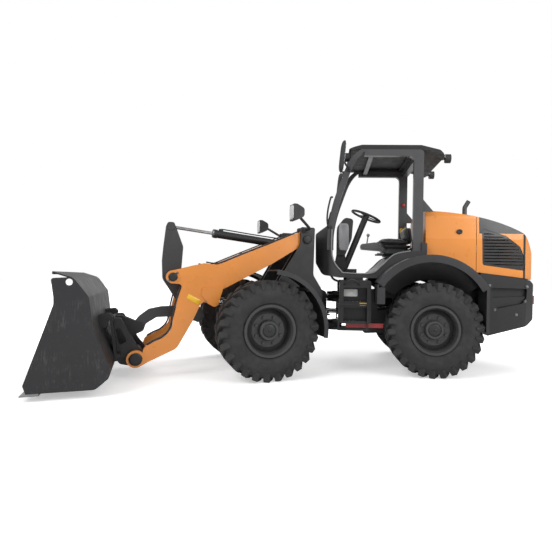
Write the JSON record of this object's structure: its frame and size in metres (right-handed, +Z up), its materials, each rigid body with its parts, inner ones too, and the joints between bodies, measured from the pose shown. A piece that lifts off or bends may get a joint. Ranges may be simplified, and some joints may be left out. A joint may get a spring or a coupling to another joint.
{
  "type": "wheel loader",
  "caption": "Compact articulated wheel loader with open roll-over canopy, lift arms on a single tilt lever and a quick-coupled bucket.",
  "frame": {"origin": "on the ground under the middle of the bounding box of the parked machine", "axes": "+X forwards along the rear frame, +Y to the left, +Z up; the front frame is parked turned 23 degrees to the left"},
  "size_m": [5.4754, 2.9546, 2.505],
  "materials": {
    "tyre": "matte rubber",
    "rim": "satin paint",
    "frame_paint": "satin paint",
    "axle_paint": "painted casting",
    "hood_paint": "gloss paint",
    "arm_paint": "gloss paint",
    "bucket_paint": "satin paint",
    "engine": "painted casting",
    "pipe_steel": "heat-dulled steel",
    "plastic_black": "textured plastic",
    "plastic_grey": "textured plastic",
    "seat_fabric": "vinyl and cloth",
    "red_paint": "paint",
    "lens_red": "lens",
    "bare_steel": "worn steel",
    "cylinder_paint": "satin paint",
    "chrome_rod": "hard chrome"
  },
  "bodies": {
    "rear_frame": {"rear_chassis": "frame_paint", "rear_axle": "axle_paint", "counterweight": "frame_paint", "engine_block": "engine", "hood_front_panel": "hood_paint", "exhaust_pipe": "pipe_steel", "rear_fenders": "plastic_black", "cab_tub": "frame_paint", "rops_frame": "frame_paint", "roof": "frame_paint", "seat": "seat_fabric", "steering_column": "plastic_black", "side_console": "plastic_grey", "step_boxes": "frame_paint", "mirrors": "plastic_black", "work_lamps": "plastic_black", "lock_bar": "red_paint", "rear_lights": "lens_red"},
    "front_frame": {"front_chassis": "frame_paint", "front_axle": "axle_paint", "front_fenders": "plastic_black", "headlights": "plastic_black"},
    "steering_wheel": {"steering_wheel": "plastic_black"},
    "engine_hood": {"engine_hood": "hood_paint"},
    "boom": {"lift_arms": "arm_paint"},
    "tilt_lever": {"tilt_lever": "frame_paint"},
    "tilt_link": {"tilt_link": "frame_paint"},
    "bucket": {"coupler": "frame_paint", "bucket": "bucket_paint", "cutting_edge": "bare_steel"},
    "tilt_barrel": {"tilt_barrel": "cylinder_paint"},
    "tilt_rod": {"tilt_rod": "chrome_rod"},
    "lift_barrels": {"lift_barrels": "cylinder_paint"},
    "lift_rods": {"lift_rods": "chrome_rod"},
    "steering_barrel_left": {"steering_barrel_left": "cylinder_paint"},
    "steering_rod_left": {"steering_rod_left": "chrome_rod"},
    "steering_barrel_right": {"steering_barrel_right": "cylinder_paint"},
    "steering_rod_right": {"steering_rod_right": "chrome_rod"},
    "wheel_front_left": {"tyre_front_left": "tyre", "rim_front_left": "rim"},
    "wheel_front_right": {"tyre_front_right": "tyre", "rim_front_right": "rim"},
    "wheel_rear_left": {"tyre_rear_left": "tyre", "rim_rear_left": "rim"},
    "wheel_rear_right": {"tyre_rear_right": "tyre", "rim_rear_right": "rim"}
  },
  "joints": [
    {"name": "articulation", "type": "hinge", "parent": "rear_frame", "child": "front_frame", "pos_m": [-0.4797, -0.60531, 0], "axis": [0, 0, 1], "range_deg": [-63, 17]},
    {"name": "boom_lift", "type": "hinge", "parent": "front_frame", "child": "boom", "pos_m": [0.00357, -0.40018, 1.44], "axis": [0.3907, -0.9205, 0], "range_deg": [-1, 84]},
    {"name": "bucket_tilt", "type": "hinge", "parent": "boom", "child": "bucket", "pos_m": [1.59972, 0.27735, 0.201], "axis": [-0.3907, 0.9205, 0], "range_deg": [-40, 120]},
    {"name": "lever_swing", "type": "hinge", "parent": "boom", "child": "tilt_lever", "pos_m": [1.29227, 0.14685, 1.006], "axis": [0.3907, -0.9205, 0], "range_deg": [-16, 48]},
    {"name": "link_swing", "type": "hinge", "parent": "bucket", "child": "tilt_link", "pos_m": [1.58868, 0.27266, 0.476], "axis": [0.3907, -0.9205, 0], "range_deg": [-32, 96]},
    {"name": "tilt_barrel_swing", "type": "hinge", "parent": "front_frame", "child": "tilt_barrel", "pos_m": [0.08181, -0.36696, 1.398], "axis": [0.3907, -0.9205, 0], "range_deg": [-0.99, 82.92]},
    {"name": "tilt_rod_slide", "type": "slide", "parent": "tilt_barrel", "child": "tilt_rod", "axis": [0.9149, 0.3883, 0.1103], "range_m": [-0.28588, 0.09529]},
    {"name": "lift_barrel_swing", "type": "hinge", "parent": "front_frame", "child": "lift_barrels", "pos_m": [-0.1161, -0.45097, 0.6], "axis": [0.3907, -0.9205, 0], "range_deg": [-0.65, 54.48]},
    {"name": "lift_rod_slide", "type": "slide", "parent": "lift_barrels", "child": "lift_rods", "axis": [0.9118, 0.387, 0.1371], "range_m": [-0.01103, 0.92688]},
    {"name": "steering_barrel_left_swing", "type": "hinge", "parent": "rear_frame", "child": "steering_barrel_left", "pos_m": [-0.8497, -0.42531, 0.625], "axis": [0, 0, 1], "range_deg": [-20.32, 5.48]},
    {"name": "steering_rod_left_slide", "type": "slide", "parent": "steering_barrel_left", "child": "steering_rod_left", "axis": [0.9928, 0.1195, 0], "range_m": [-0.05234, 0.19398]},
    {"name": "steering_barrel_right_swing", "type": "hinge", "parent": "rear_frame", "child": "steering_barrel_right", "pos_m": [-0.8497, -0.78531, 0.625], "axis": [0, 0, 1], "range_deg": [-20.35, 5.49]},
    {"name": "steering_rod_right_slide", "type": "slide", "parent": "steering_barrel_right", "child": "steering_rod_right", "axis": [0.9904, 0.1383, 0], "range_m": [-0.19397, 0.05234]},
    {"name": "hood_lift", "type": "hinge", "parent": "rear_frame", "child": "engine_hood", "pos_m": [-2.0397, -0.60531, 1.752], "axis": [0, 1, 0], "range_deg": [0, 48]},
    {"name": "steering_wheel_turn", "type": "hinge", "parent": "rear_frame", "child": "steering_wheel", "pos_m": [-0.8507, -0.60531, 1.786], "axis": [-0.3681, 0, 0.9298], "range_deg": [-720, 720]},
    {"name": "wheel_front_left_spin", "type": "hinge", "parent": "front_frame", "child": "wheel_front_left", "pos_m": [0.2049, 0.44356, 0.495], "axis": [-0.3907, 0.9205, 0], "continuous": true},
    {"name": "wheel_front_right_spin", "type": "hinge", "parent": "front_frame", "child": "wheel_front_right", "pos_m": [0.75036, -0.84146, 0.495], "axis": [-0.3907, 0.9205, 0], "continuous": true},
    {"name": "wheel_rear_left_spin", "type": "hinge", "parent": "rear_frame", "child": "wheel_rear_left", "pos_m": [-1.5197, 0.09269, 0.495], "axis": [0, 1, 0], "continuous": true},
    {"name": "wheel_rear_right_spin", "type": "hinge", "parent": "rear_frame", "child": "wheel_rear_right", "pos_m": [-1.5197, -1.30331, 0.495], "axis": [0, 1, 0], "continuous": true}
  ],
  "couplings": [
    {"joint": "lever_swing", "follows": "bucket_tilt", "ratio": 0.4},
    {"joint": "link_swing", "follows": "bucket_tilt", "ratio": 0.8},
    {"joint": "tilt_barrel_swing", "follows": "boom_lift", "ratio": 0.9871},
    {"joint": "tilt_rod_slide", "follows": "bucket_tilt", "m_per_rad": -0.1365},
    {"joint": "lift_barrel_swing", "follows": "boom_lift", "ratio": 0.6486},
    {"joint": "lift_rod_slide", "follows": "boom_lift", "m_per_rad": 0.63222},
    {"joint": "steering_barrel_left_swing", "follows": "articulation", "ratio": 0.3226},
    {"joint": "steering_rod_left_slide", "follows": "articulation", "m_per_rad": -0.17642},
    {"joint": "steering_barrel_right_swing", "follows": "articulation", "ratio": 0.323},
    {"joint": "steering_rod_right_slide", "follows": "articulation", "m_per_rad": 0.17641}
  ]
}
